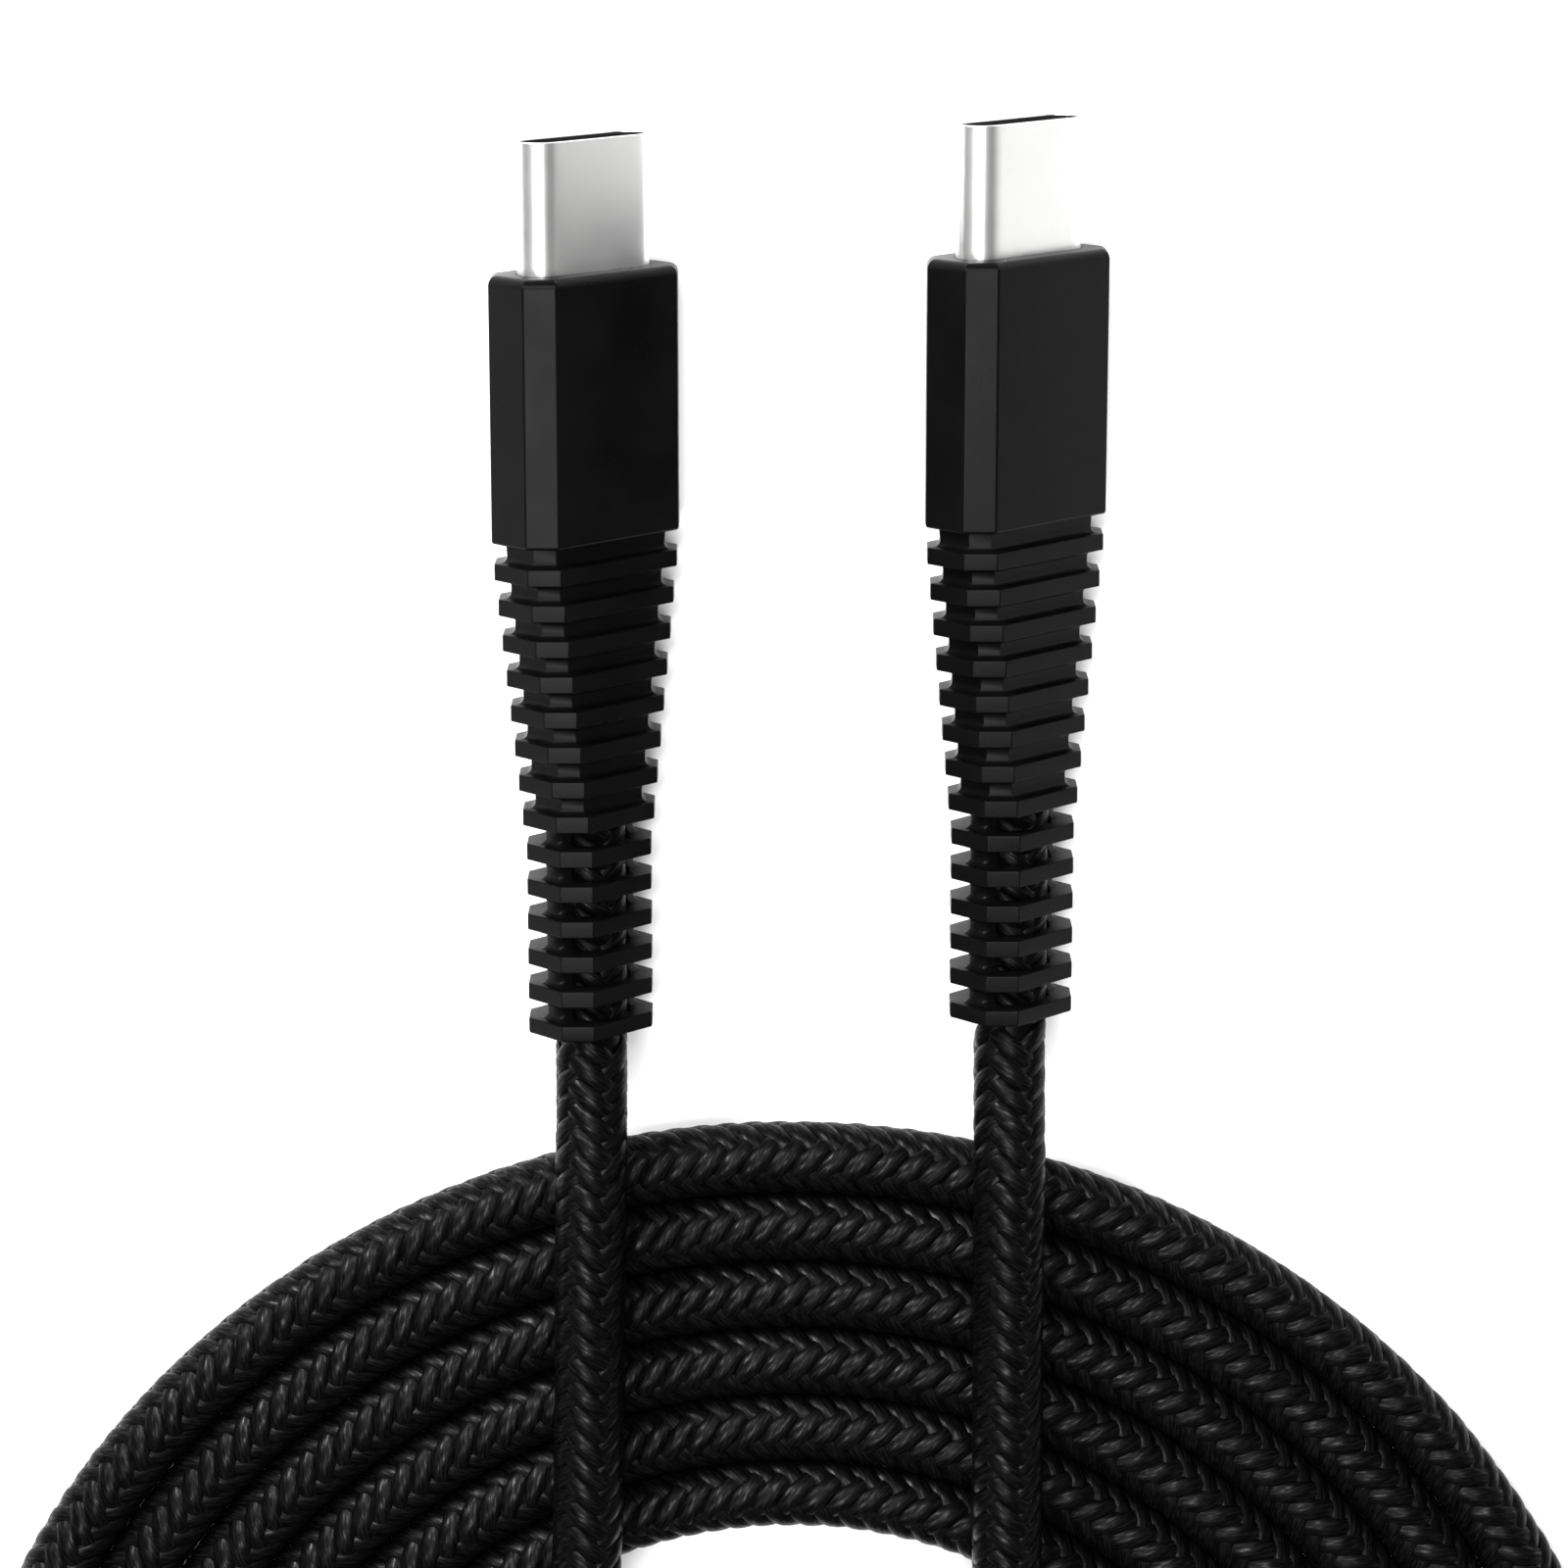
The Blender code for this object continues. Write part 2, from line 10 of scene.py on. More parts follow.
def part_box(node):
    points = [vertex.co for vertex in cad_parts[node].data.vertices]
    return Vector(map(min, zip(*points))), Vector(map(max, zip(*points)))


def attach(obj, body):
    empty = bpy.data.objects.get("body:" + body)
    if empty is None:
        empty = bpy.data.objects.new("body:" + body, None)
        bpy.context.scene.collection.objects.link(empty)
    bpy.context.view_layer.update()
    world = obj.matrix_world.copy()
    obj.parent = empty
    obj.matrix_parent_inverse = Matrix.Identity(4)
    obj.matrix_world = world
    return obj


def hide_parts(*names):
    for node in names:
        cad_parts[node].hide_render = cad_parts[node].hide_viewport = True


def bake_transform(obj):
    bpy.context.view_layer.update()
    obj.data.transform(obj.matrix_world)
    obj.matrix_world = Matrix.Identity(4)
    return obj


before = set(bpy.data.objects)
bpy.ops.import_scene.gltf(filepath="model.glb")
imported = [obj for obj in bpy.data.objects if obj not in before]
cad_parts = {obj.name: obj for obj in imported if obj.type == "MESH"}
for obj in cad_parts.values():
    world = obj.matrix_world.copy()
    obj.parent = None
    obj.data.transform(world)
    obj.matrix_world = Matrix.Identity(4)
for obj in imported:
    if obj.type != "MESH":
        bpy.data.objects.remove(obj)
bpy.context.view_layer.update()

MM = 0.001
SIDES = ("left", "right")

# Camera.
CAMERA_PLACE = (-0.87 * MM, 46.15 * MM, 241.1 * MM)
CAMERA_TILT = math.radians(13.5)
CAMERA_LENS = 107.7
CAMERA_NEAR = 0.005

# Cord and its weave.
CORD_RADIUS = 1.96 * MM
CORE_RADIUS = 1.64 * MM
WEAVE_LEAD = 8.15 * MM
WEAVE_RATE = 2 * math.pi / WEAVE_LEAD
YARNS_EACH_WAY = 6
COLUMNS_EACH_WAY = 3
COLUMN_CENTRE = math.radians(90)
YARN_HALF_WIDTH = 0.605 * MM
YARN_CROWN = 0.2 * MM
YARN_WAVE = 0.1 * MM
YARN_ACROSS = (-1.0, -0.85, -0.5, 0.0, 0.5, 0.85, 1.0)
CROWN_POWER = 3
YARN_SLOPE_SHARE = 0.9
WIDTH_SPREAD = (0.93, 1.03)
HEIGHT_SPREAD = 0.012
THREAD_SHIFT = 50
FLOAT_STEPS = 11
FLOAT_REACH = math.radians(44)
END_MARGIN = 0.25 * MM
CORE_SIDES = 12
CORE_SKIP = 2
PATH_STEP = 0.5 * MM
ROUTE_PARTS = 24
COIL_PARTS = 4
WEAVE_SEED = 7

# How far the weave is rolled about the cord: onto the coil, measured from its left end, and
# onto the right lead, measured from its right end.
COIL_ROLL = math.radians(19)
RIGHT_LEAD_ROLL = math.radians(11.7)
COIL_ROLL_START = 36 * MM
COIL_ROLL_SPAN = 28 * MM
LEAD_ROLL_FROM_END = 112 * MM
LEAD_ROLL_SPAN = 40 * MM

# The flat coil, in millimetres and degrees.
COIL_CENTRE = (-0.5, -77.46)
TURN_PITCH = 3.8
FIRST_RADIUS = 22.9
TURN_COUNT = 6
COIL_START = 217
JOG_START = 200
JOG_SPAN = 140
COIL_END = 2366
COIL_STEP = 3
CORD_HEIGHT = 1.9
LIFT_START = 2338
LIFT_SPAN = 26
LIFT = 4.02

# Plug sizes, as in the CAD.
PLUG_ROLL = math.radians(45)
HOUSING_WIDTH = 10.68 * MM
HOUSING_DEPTH = 4.96 * MM
HOUSING_LENGTH = 13.63 * MM
CHAMFER = 1.18 * MM
SHELL_WIDTH = 8.25 * MM
SHELL_HEIGHT = 2.40 * MM
SHELL_WALL = 0.28 * MM
SHELL_REACH = 6.65 * MM
SHELL_HIDDEN = 3.3 * MM
SHELL_LIP = 0.15 * MM
SHELL_LIP_DEPTH = 0.6 * MM
SHELL_FIT = 0.1 * MM
SHELL_POINTS = 96
SHELL_GUIDE_STRETCH = 1.4
LIP_STEPS = 8
RIB_COUNT = 14
RIB_PITCH = 1.87 * MM
RIB_LENGTH = 0.87 * MM
TAPER_RIBS = 9
FIRST_RIB_WIDTH = 10.42 * MM
LAST_RIB_WIDTH = 6.5 * MM
RIB_DEPTH = 4.9 * MM
NECK_INSET = 0.65 * MM
FIRST_WINDOW_RIB = 8
WOVEN_BORE = 1.97 * MM
WIRE_BORE = 1.5 * MM
REAR_BORE_DEPTH = 1.5 * MM
SHELL_SOCKET_DEPTH = 2.0 * MM

# Plug finish: roundings and the moulded groove between ribs, as (y, inset) in millimetres.
SHARP_EDGE = math.radians(35)
OCTAGON_STEP = 45
CORNER_STEPS = 4
LEAST_CORNER = 0.03 * MM
BODY_ROUNDING = 0.22 * MM
RIB_ROUNDING = 0.12 * MM
FRONT_ROUND = 0.5 * MM
FRONT_ROUND_STEPS = 6
REAR_ROUND = 0.18 * MM
REAR_ROUND_STEPS = 3
RELIEF_GAP = 0.02 * MM
RELIEF_FRONT_INSET = NECK_INSET - 0.05 * MM
RELIEF_BORE_DEPTH = 0.8 * MM
BORE_EASE = 0.1 * MM
TAIL_ROUNDING = 2.2
EDGE_INSET = 0.1
NECK_TO_RIB = [
    (0.30, 0.65),
    (0.16, 0.61),
    (0.05, 0.50),
    (0.0, 0.36),
    (0.0, 0.07),
    (-0.02, 0.02),
    (-0.07, 0.0),
]

# The web between two single ribs: its section, its flare into the ribs and its overlap with both.
WEB_HALF_HEIGHT = 0.6 * MM
WEB_FLARE = 0.3 * MM
WEB_OVERLAP = 0.05 * MM
WEB_BORE_OVERLAP = 0.02 * MM
WEB_STEPS = 8
WEB_SECTION = [
    (0.22, -0.05),
    (0.06, 0.04),
    (0.0, 0.2),
]
WEB_ROOT_RISE = 0.12 * MM

# The woven cord inside the windows: how far it runs past them at each end.
INNER_WEAVE_STEPS = 40
INNER_WEAVE_FRONT = 0.7 * MM
INNER_WEAVE_BACK = 0.3 * MM

# Surface looks: noise scales in cycles per metre, relief depths, and shares of the base colour.
MOULDED_SPECULAR = 0.05
SHEEN_SCALE = 260
GRAIN_SCALE = 9000
GRAIN_DEPTH = 0.006 * MM
COLOUR_DRIFT = 0.14
MARK_SCALE = 3200
MARK_DEPTH = 0.002 * MM
SHELL_MARK_DEPTH = 0.0001 * MM
SMUDGE_SCALE = 420
SMUDGE_SHADE = 0.04
THREAD_STRETCH = (1.0, 9, 1)
SPECK_STRETCH = (1.6, 8, 1)
THREAD_DEPTH = 0.02 * MM
YARN_SHADE = (0.0005, 0.0005, 0.0006)
YARN_LIGHT = (0.003, 0.003, 0.0032)
YARN_ROUGHNESS = (0.38, 0.3)
YARN_SPECULAR = (0.045, 0.18)

# CAD nodes that are shown as they are, with the look that each one gets.
CARRIED = {
    "contact_insert": "insert",
    "contacts_upper": "gold",
    "contacts_lower": "gold",
    "latch_plate": "spring",
    "ground_spring_upper": "spring",
    "ground_spring_lower": "spring",
    "circuit_board": "board",
    "marker_chip": "chip",
    "shield_can": "can",
    "wire_bundle": "wire",
    "crimp_ferrule": "ferrule",
}

# Floor and lights. A light is its name, place, target, size and power; metres and watts.
FLOOR_SIZE = 6
FLOOR_HEIGHT = -0.02 * MM
FLOOR_DARKER = (0.9, 0.9, 0.9)
FLOOR_LIGHTER = (0.92, 0.92, 0.92)
SKY_STRENGTH = 0.23
LIGHTS = [
    ("front", (0.0, 0.42, 0.68), (0, -0.03, 0), (0.5, 0.5), 6.8),
    ("overhead", (-0.09, -0.1, 0.7), (0, -0.02, 0), (0.14, 0.6), 5.4),
    ("key", (-0.42, 0.42, 0.38), (0, -0.05, 0), (0.2, 0.2), 7.0),
    ("right_wall", (0.7, -0.12, 0.1), (0, 0, 0.02), (0.7, 0.2), 0.2),
]

# The cord's route where it isn't wound, in metres, plug end first.
LEFT_ROUTE = [
    (-0.01097, -0.0239, 0.0047),
    (-0.01098, -0.0275, 0.00505),
    (-0.01102, -0.0315, 0.0058),
    (-0.01108, -0.036, 0.00592),
    (-0.01117, -0.041, 0.0059),
    (-0.01128, -0.0465, 0.0059),
    (-0.01142, -0.052, 0.00592),
    (-0.0117, -0.0565, 0.00575),
    (-0.0128, -0.061, 0.00485),
    (-0.0148, -0.0653, 0.0034),
    (-0.0173, -0.0695, 0.0023),
    (-0.0197, -0.0738, 0.00195),
    (-0.0215, -0.0785, 0.0019),
    (-0.0221, -0.083, 0.0019),
    (-0.02125, -0.0866, 0.0019),
    (-0.01971, -0.08946, 0.0019),
]
RIGHT_ROUTE = [
    (0.01097, -0.02306, 0.0047),
    (0.01097, -0.027, 0.00505),
    (0.01098, -0.0312, 0.0058),
    (0.01099, -0.036, 0.00592),
    (0.01102, -0.042, 0.0059),
    (0.01106, -0.049, 0.0059),
    (0.01112, -0.0555, 0.00588),
    (0.01125, -0.0625, 0.0056),
    (0.0114, -0.07, 0.00535),
    (0.01155, -0.0775, 0.0053),
    (0.0115, -0.085, 0.00545),
    (0.0101, -0.0935, 0.00575),
    (0.0061, -0.1014, 0.00592),
    (-0.0001, -0.1076, 0.00592),
    (-0.0079, -0.1116, 0.00592),
    (-0.0165, -0.113, 0.00592),
    (-0.0252, -0.1116, 0.00592),
    (-0.033, -0.1076, 0.00592),
    (-0.038, -0.103, 0.00592),
    (-0.0408, -0.099, 0.00592),
]


def make_camera():
    data = bpy.data.cameras.new("camera")
    data.lens = CAMERA_LENS
    data.clip_start = CAMERA_NEAR
    camera = bpy.data.objects.new("camera", data)
    bpy.context.scene.collection.objects.link(camera)
    camera.location = CAMERA_PLACE
    camera.rotation_euler = (-CAMERA_TILT, 0, 0)
    bpy.context.scene.camera = camera


# Node helpers.


class Look:
    """A new material's node tree with short ways to add and join nodes."""

    def __init__(self, name):
        self.material = bpy.data.materials.new(name)
        self.material.use_nodes = True
        self.tree = self.material.node_tree
        self.shader = self.tree.nodes["Principled BSDF"]

    def set(self, **values):
        for key, value in values.items():
            socket = self.shader.inputs[key.replace("_", " ")]
            socket.default_value = (*value, 1.0) if isinstance(value, tuple) else value

    def node(self, kind, inputs=None, **settings):
        made = self.tree.nodes.new(kind)
        for key, value in settings.items():
            setattr(made, key, value)
        for key, value in (inputs or {}).items():
            self.put(made.inputs[key], value)
        return made

    def put(self, socket, value):
        if isinstance(value, bpy.types.NodeSocket):
            self.tree.links.new(value, socket)
        else:
            socket.default_value = value

    def coordinates(self, kind="Object", scale=(1, 1, 1)):
        """Texture coordinates of one kind, stretched by scale."""
        source = self.node("ShaderNodeTexCoord").outputs[kind]
        made = self.node("ShaderNodeMapping", {"Vector": source})
        made.inputs["Scale"].default_value = scale
        return made.outputs["Vector"]

    def noise(self, vector, scale, detail=2.0, roughness=0.5):
        """A noise value; scale is in cycles per metre, or per UV unit."""
        made = self.node(
            "ShaderNodeTexNoise",
            {"Vector": vector, "Scale": scale, "Detail": detail, "Roughness": roughness},
        )
        return made.outputs["Fac"]

    def spread(self, value, low, high, to_low=0.0, to_high=1.0):
        """The value between low and high, moved to lie between to_low and to_high."""
        made = self.node(
            "ShaderNodeMapRange",
            {
                "Value": value,
                "From Min": low,
                "From Max": high,
                "To Min": to_low,
                "To Max": to_high,
            },
        )
        return made.outputs["Result"]

    def blend_colours(self, share, one, two):
        made = self.node("ShaderNodeMix", data_type="RGBA")
        self.put(made.inputs["Factor"], share)
        self.put(made.inputs[6], (*one, 1.0))
        self.put(made.inputs[7], (*two, 1.0))
        return made.outputs[2]

    def bump(self, height, distance, strength):
        made = self.node(
            "ShaderNodeBump", {"Height": height, "Distance": distance, "Strength": strength}
        )
        return made.outputs["Normal"]

    def feed(self, **links):
        for key, value in links.items():
            self.put(self.shader.inputs[key.replace("_", " ")], value)


def moulded(name, colour, roughness, grain=1.0):
    """Moulded polymer: a very fine grain, slight sheen changes and a faint colour drift."""
    look = Look(name)
    look.set(Specular_IOR_Level=MOULDED_SPECULAR)
    place = look.coordinates()
    broad = look.noise(place, SHEEN_SCALE, 3)
    fine = look.noise(place, GRAIN_SCALE, 2, 0.6)
    darker = tuple(c * (1 - COLOUR_DRIFT) for c in colour)
    lighter = tuple(c * (1 + COLOUR_DRIFT) for c in colour)
    look.feed(
        Base_Color=look.blend_colours(look.spread(broad, 0.35, 0.65), darker, lighter),
        Roughness=look.spread(broad, 0.3, 0.7, roughness - 0.04, roughness + 0.05),
        Normal=look.bump(fine, GRAIN_DEPTH * grain, 0.6),
    )
    return look.material


def metal(name, colour, roughness, streak=(1, 1, 1), depth=MARK_DEPTH, purity=1.0):
    """Plated metal: drawing marks along one direction and soft handling smudges."""
    look = Look(name)
    look.set(Metallic=purity)
    marks = look.noise(look.coordinates(scale=streak), MARK_SCALE, 3, 0.6)
    smudge = look.noise(look.coordinates(), SMUDGE_SCALE, 3)
    darker = tuple(c * (1 - SMUDGE_SHADE) for c in colour)
    look.feed(
        Base_Color=look.blend_colours(look.spread(smudge, 0.3, 0.7), darker, colour),
        Roughness=look.spread(smudge, 0.3, 0.75, roughness - 0.02, roughness + 0.03),
        Normal=look.bump(marks, depth, 0.5),
    )
    return look.material


def yarn_look():
    """Black filament yarn: threads run along each yarn, with a few brighter, glossier ones."""
    look = Look("woven_yarn")
    threads = look.noise(look.coordinates("UV", THREAD_STRETCH), 1.0, 2, 0.6)
    specks = look.noise(look.coordinates("UV", SPECK_STRETCH), 1.0, 1, 0.5)
    glints = look.spread(specks, 0.5, 0.72)
    look.feed(
        Base_Color=look.blend_colours(
            look.spread(threads, 0.45, 0.65), YARN_SHADE, YARN_LIGHT
        ),
        Roughness=look.spread(glints, 0.0, 1.0, *YARN_ROUGHNESS),
        Specular_IOR_Level=look.spread(glints, 0.0, 1.0, *YARN_SPECULAR),
        Normal=look.bump(threads, THREAD_DEPTH, 0.7),
    )
    return look.material


# Cord.


def smooth_line(points, parts=ROUTE_PARTS):
    """A smooth curve through the given points, as an array."""
    points = np.asarray(points, float)
    ends = np.concatenate([[2 * points[0] - points[1]], points, [2 * points[-1] - points[-2]]])
    found = []
    for i in range(1, len(ends) - 2):
        a, b, c, d = ends[i - 1 : i + 3]
        for k in range(parts):
            t = k / parts
            bend = (2 * a - 5 * b + 4 * c - d) * t**2 + (3 * b - a - 3 * c + d) * t**3
            found.append((2 * b + (c - a) * t + bend) / 2)
    found.append(points[-1])
    return np.array(found)


def distance_along(points):
    gaps = np.linalg.norm(np.diff(points, axis=0), axis=1)
    return np.concatenate([[0.0], np.cumsum(gaps)])


def even_line(points, step):
    along = distance_along(points)
    count = max(2, int(round(along[-1] / step)))
    at = np.linspace(0, along[-1], count + 1)
    return np.stack([np.interp(at, along, points[:, k]) for k in range(3)], axis=1)


def ease(x):
    x = np.clip(x, 0.0, 1.0)
    return x * x * (3 - 2 * x)


def coil_points():
    """The wound length: round turns, each stepping out one pitch on its far side."""
    angle = np.arange(COIL_START, COIL_END, COIL_STEP, dtype=float)
    radius = np.full_like(angle, FIRST_RADIUS)
    for turn in range(TURN_COUNT):
        radius += TURN_PITCH * ease((angle - JOG_START - 360 * turn) / JOG_SPAN)
    height = CORD_HEIGHT + LIFT * ease((angle - LIFT_START) / LIFT_SPAN)
    turned = np.radians(angle)
    x = COIL_CENTRE[0] + radius * np.cos(turned)
    y = COIL_CENTRE[1] + radius * np.sin(turned)
    return np.stack([x, y, height], axis=1) * MM


def frames_along(points):
    """Two side directions at each point, which don't twist along the line."""
    tangents = np.gradient(points, axis=0)
    tangents /= np.linalg.norm(tangents, axis=1, keepdims=True)
    side = np.cross(tangents[0], (0.0, 0.0, 1.0))
    side /= np.linalg.norm(side)
    sides = np.empty_like(points)
    for i, tangent in enumerate(tangents):
        side = side - tangent * np.dot(side, tangent)
        side /= np.linalg.norm(side)
        sides[i] = side
    return sides, np.cross(sides, tangents)


def mesh_from_arrays(name, vertices, quads, uvs=None):
    mesh = bpy.data.meshes.new(name)
    mesh.vertices.add(len(vertices))
    mesh.vertices.foreach_set("co", vertices.astype(np.float32).ravel())
    mesh.loops.add(quads.size)
    mesh.loops.foreach_set("vertex_index", quads.astype(np.int32).ravel())
    mesh.polygons.add(len(quads))
    mesh.polygons.foreach_set("loop_start", np.arange(0, quads.size, 4, dtype=np.int32))
    mesh.update(calc_edges=True)
    if uvs is not None:
        layer = mesh.uv_layers.new(name="along")
        layer.data.foreach_set("uv", uvs[quads.ravel()].astype(np.float32).ravel())
    mesh.polygons.foreach_set("use_smooth", np.ones(len(quads), bool))
    mesh.validate()
    made = bpy.data.objects.new(name, mesh)
    bpy.context.scene.collection.objects.link(made)
    return made


def grid_quads(count, rows, columns, closed=False):
    """Quads of count separate grids of rows by columns points; closed joins the last column."""
    index = np.arange(count * rows * columns).reshape(count, rows, columns)
    if closed:
        index = np.concatenate([index, index[:, :, :1]], axis=2)
    a = index[:, :-1, :-1]
    b = index[:, :-1, 1:]
    c = index[:, 1:, 1:]
    d = index[:, 1:, :-1]
    return np.stack([a, b, c, d], axis=-1).reshape(-1, 4)


def rolled(sides, ups, along):
    """Turns the side directions about the line by the cord's roll at each point."""
    onto_coil = ease((along - COIL_ROLL_START) / COIL_ROLL_SPAN)
    onto_lead = ease((along - along[-1] + LEAD_ROLL_FROM_END) / LEAD_ROLL_SPAN)
    roll = COIL_ROLL * onto_coil + (RIGHT_LEAD_ROLL - COIL_ROLL) * onto_lead
    cosine = np.cos(roll)[:, None]
    sine = np.sin(roll)[:, None]
    return sides * cosine - ups * sine, ups * cosine + sides * sine


def float_places(length):
    """Middle angle, place along the cord and hand of every float that can be seen."""
    spacing = 2 * math.pi / YARNS_EACH_WAY
    period = 2 * math.pi / COLUMNS_EACH_WAY
    starts, middles, hands = [], [], []
    for hand in (1, -1):
        for yarn in range(YARNS_EACH_WAY):
            first = (yarn if hand > 0 else yarn + 0.5) * spacing
            low, high = sorted((first, first + hand * WEAVE_RATE * length))
            phase = COLUMN_CENTRE + (0 if hand > 0 else period / 2)
            lowest = math.floor((low - phase) / period)
            highest = math.ceil((high - phase) / period)
            angle = phase + np.arange(lowest, highest + 1) * period
            middles.append(angle)
            starts.append((angle - first) * hand / WEAVE_RATE)
            hands.append(np.full(len(angle), hand))
    middle = np.concatenate(middles)
    start = np.concatenate(starts)
    hand = np.concatenate(hands)
    inside = (start > END_MARGIN) & (start < length - END_MARGIN)
    return middle[inside], start[inside], hand[inside]


def core_tube(points, sides, ups):
    """Vertices and quads of the plain round core under the weave."""
    ring = np.linspace(0, 2 * math.pi, CORE_SIDES, endpoint=False)[None, :, None]
    sideways = sides[::CORE_SKIP, None] * np.cos(ring) * CORE_RADIUS
    upwards = ups[::CORE_SKIP, None] * np.sin(ring) * CORE_RADIUS
    core = points[::CORE_SKIP, None] + sideways + upwards
    return core.reshape(-1, 3), grid_quads(1, len(core), CORE_SIDES, closed=True)


def woven_cord(name, line, rolls=False):
    """A round braid along a line: every visible float of each yarn is its own curved patch."""
    points = even_line(line, PATH_STEP)
    sides, ups = frames_along(points)
    along = distance_along(points)
    length = along[-1]
    if rolls:
        sides, ups = rolled(sides, ups, along)
    middle, start, hand = (values[:, None, None] for values in float_places(length))
    count = len(middle)
    swing = np.linspace(-FLOAT_REACH, FLOAT_REACH, FLOAT_STEPS)[None, :, None]
    share = np.array(YARN_ACROSS)[None, None, :]
    steep = math.atan(CORD_RADIUS * YARN_SLOPE_SHARE * WEAVE_RATE)
    rng = np.random.default_rng(WEAVE_SEED)
    half_width = YARN_HALF_WIDTH * rng.uniform(*WIDTH_SPREAD, count)[:, None, None]
    lift = rng.normal(0, HEIGHT_SPREAD, count)[:, None, None] * MM
    across = share * half_width
    wave = YARN_WAVE * np.cos(COLUMNS_EACH_WAY * swing)
    crown = YARN_CROWN * (1 - np.abs(share) ** CROWN_POWER)
    radius = CORD_RADIUS - YARN_CROWN - YARN_WAVE + wave + lift + crown
    angle = middle + hand * swing + across * math.cos(steep) / CORD_RADIUS
    place = start + swing / WEAVE_RATE - hand * across * math.sin(steep)
    place, angle, radius = np.broadcast_arrays(place, angle, radius)
    flat = np.clip(place, 0, length).ravel()
    around = angle.ravel()[:, None]

    def read(values):
        return np.stack([np.interp(flat, along, values[:, k]) for k in range(3)], axis=1)

    out = read(sides) * np.cos(around) + read(ups) * np.sin(around)
    floats = read(points) + out * radius.ravel()[:, None]
    quads = grid_quads(count, FLOAT_STEPS, len(YARN_ACROSS))
    flip = np.repeat(hand.ravel() < 0, (FLOAT_STEPS - 1) * (len(YARN_ACROSS) - 1))
    quads[flip] = quads[flip][:, ::-1]
    seed = rng.uniform(0, THREAD_SHIFT, count)[:, None, None]
    u = np.broadcast_to(seed + swing / WEAVE_RATE / math.cos(steep) / MM, radius.shape)
    v = np.broadcast_to(share * 0.5 + 0.5 + seed, radius.shape)
    uvs = np.stack([u.ravel(), v.ravel()], axis=1)
    core, core_quads = core_tube(points, sides, ups)
    vertices = np.concatenate([floats, core])
    all_quads = np.concatenate([quads[:, ::-1], core_quads + len(floats)])
    all_uvs = np.concatenate([uvs, np.zeros((len(core), 2))])
    return mesh_from_arrays(name, vertices, all_quads, all_uvs), points, length


def make_cord(look):
    left = smooth_line(LEFT_ROUTE)
    right = smooth_line(RIGHT_ROUTE)
    line = np.concatenate([left, smooth_line(coil_points(), COIL_PARTS), right[::-1]])
    cord, points, length = woven_cord("cord", line, True)
    cord.data.materials.append(look)
    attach(cord, "cord")
    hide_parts("cord_coil", "cord_lead_left", "cord_lead_right")


# Plugs. Inside a plug, x is its width, z its thickness, y its length from the housing's front.


def plug_place(side):
    """Matrix from plug coordinates to the shared frame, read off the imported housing."""
    low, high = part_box(side + "_housing")
    centre = ((low[0] + high[0]) / 2, high[1], (low[2] + high[2]) / 2)
    return Matrix.Translation(centre) @ Matrix.Rotation(PLUG_ROLL, 4, "Y")


def octagon(width, depth, chamfer, rounding, inset=0.0):
    """Octagon outline in x and z with rounded corners, moved inwards by inset."""
    half_w = width / 2 - inset
    half_d = depth / 2 - inset
    cut = chamfer - inset * (2 - math.sqrt(2))
    corners = [
        (half_w, half_d - cut),
        (half_w - cut, half_d),
        (cut - half_w, half_d),
        (-half_w, half_d - cut),
        (-half_w, cut - half_d),
        (cut - half_w, -half_d),
        (half_w - cut, -half_d),
        (half_w, cut - half_d),
    ]
    radius = max(rounding - inset, LEAST_CORNER)
    reach = radius / math.cos(math.radians(OCTAGON_STEP / 2))
    points = []
    for turn, (x, z) in enumerate(corners):
        start = turn * OCTAGON_STEP
        middle = math.radians(start + OCTAGON_STEP / 2)
        cx = x - reach * math.cos(middle)
        cz = z - reach * math.sin(middle)
        for k in range(CORNER_STEPS + 1):
            angle = math.radians(start + OCTAGON_STEP * k / CORNER_STEPS)
            points.append((cx + radius * math.cos(angle), cz + radius * math.sin(angle)))
    return np.array(points)


def stadium_at(outline, width, height):
    """Points of a round-ended slot, in the directions in which outline's points lie."""
    radius = height / 2
    reach = width / 2 - radius
    found = []
    for x, z in outline:
        size = math.hypot(x, z)
        dx = x / size
        dz = z / size
        far = radius / abs(dz) if dz else math.inf
        if abs(far * dx) > reach:
            inside = math.sqrt(radius**2 - (reach * dz) ** 2)
            far = reach * abs(dx) + inside
        found.append((far * dx, far * dz))
    return np.array(found)


def circle_at(outline, radius):
    return outline / np.linalg.norm(outline, axis=1, keepdims=True) * radius


def loft(loops, ring):
    """Vertices and quads through loops of (y, outline). A ring joins the last to the first."""
    rows = [np.insert(outline, 1, y, axis=1) for y, outline in loops]
    count = len(rows[0])
    if ring:
        rows.append(rows[0])
    quads = grid_quads(1, len(rows), count, closed=True)
    if ring:
        quads = quads % (count * len(loops))
        rows = rows[:-1]
    return np.concatenate(rows), quads


def join_shapes(shapes):
    vertices, quads, total = [], [], 0
    for points, faces in shapes:
        vertices.append(points)
        quads.append(faces + total)
        total += len(points)
    return np.concatenate(vertices), np.concatenate(quads)


def plug_piece(name, side, shapes, look, node):
    """A piece of a plug from lofted shapes, which stands for one CAD node."""
    vertices, quads = join_shapes(shapes)
    place = np.array(plug_place(side))
    vertices = vertices @ place[:3, :3].T + place[:3, 3]
    made = mesh_from_arrays(side + "_" + name, vertices, quads)
    made.data.set_sharp_from_angle(angle=SHARP_EDGE)
    made.modifiers.new("weights", "WEIGHTED_NORMAL").keep_sharp = True
    made.data.materials.append(look)
    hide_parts(side + "_" + node)
    return made


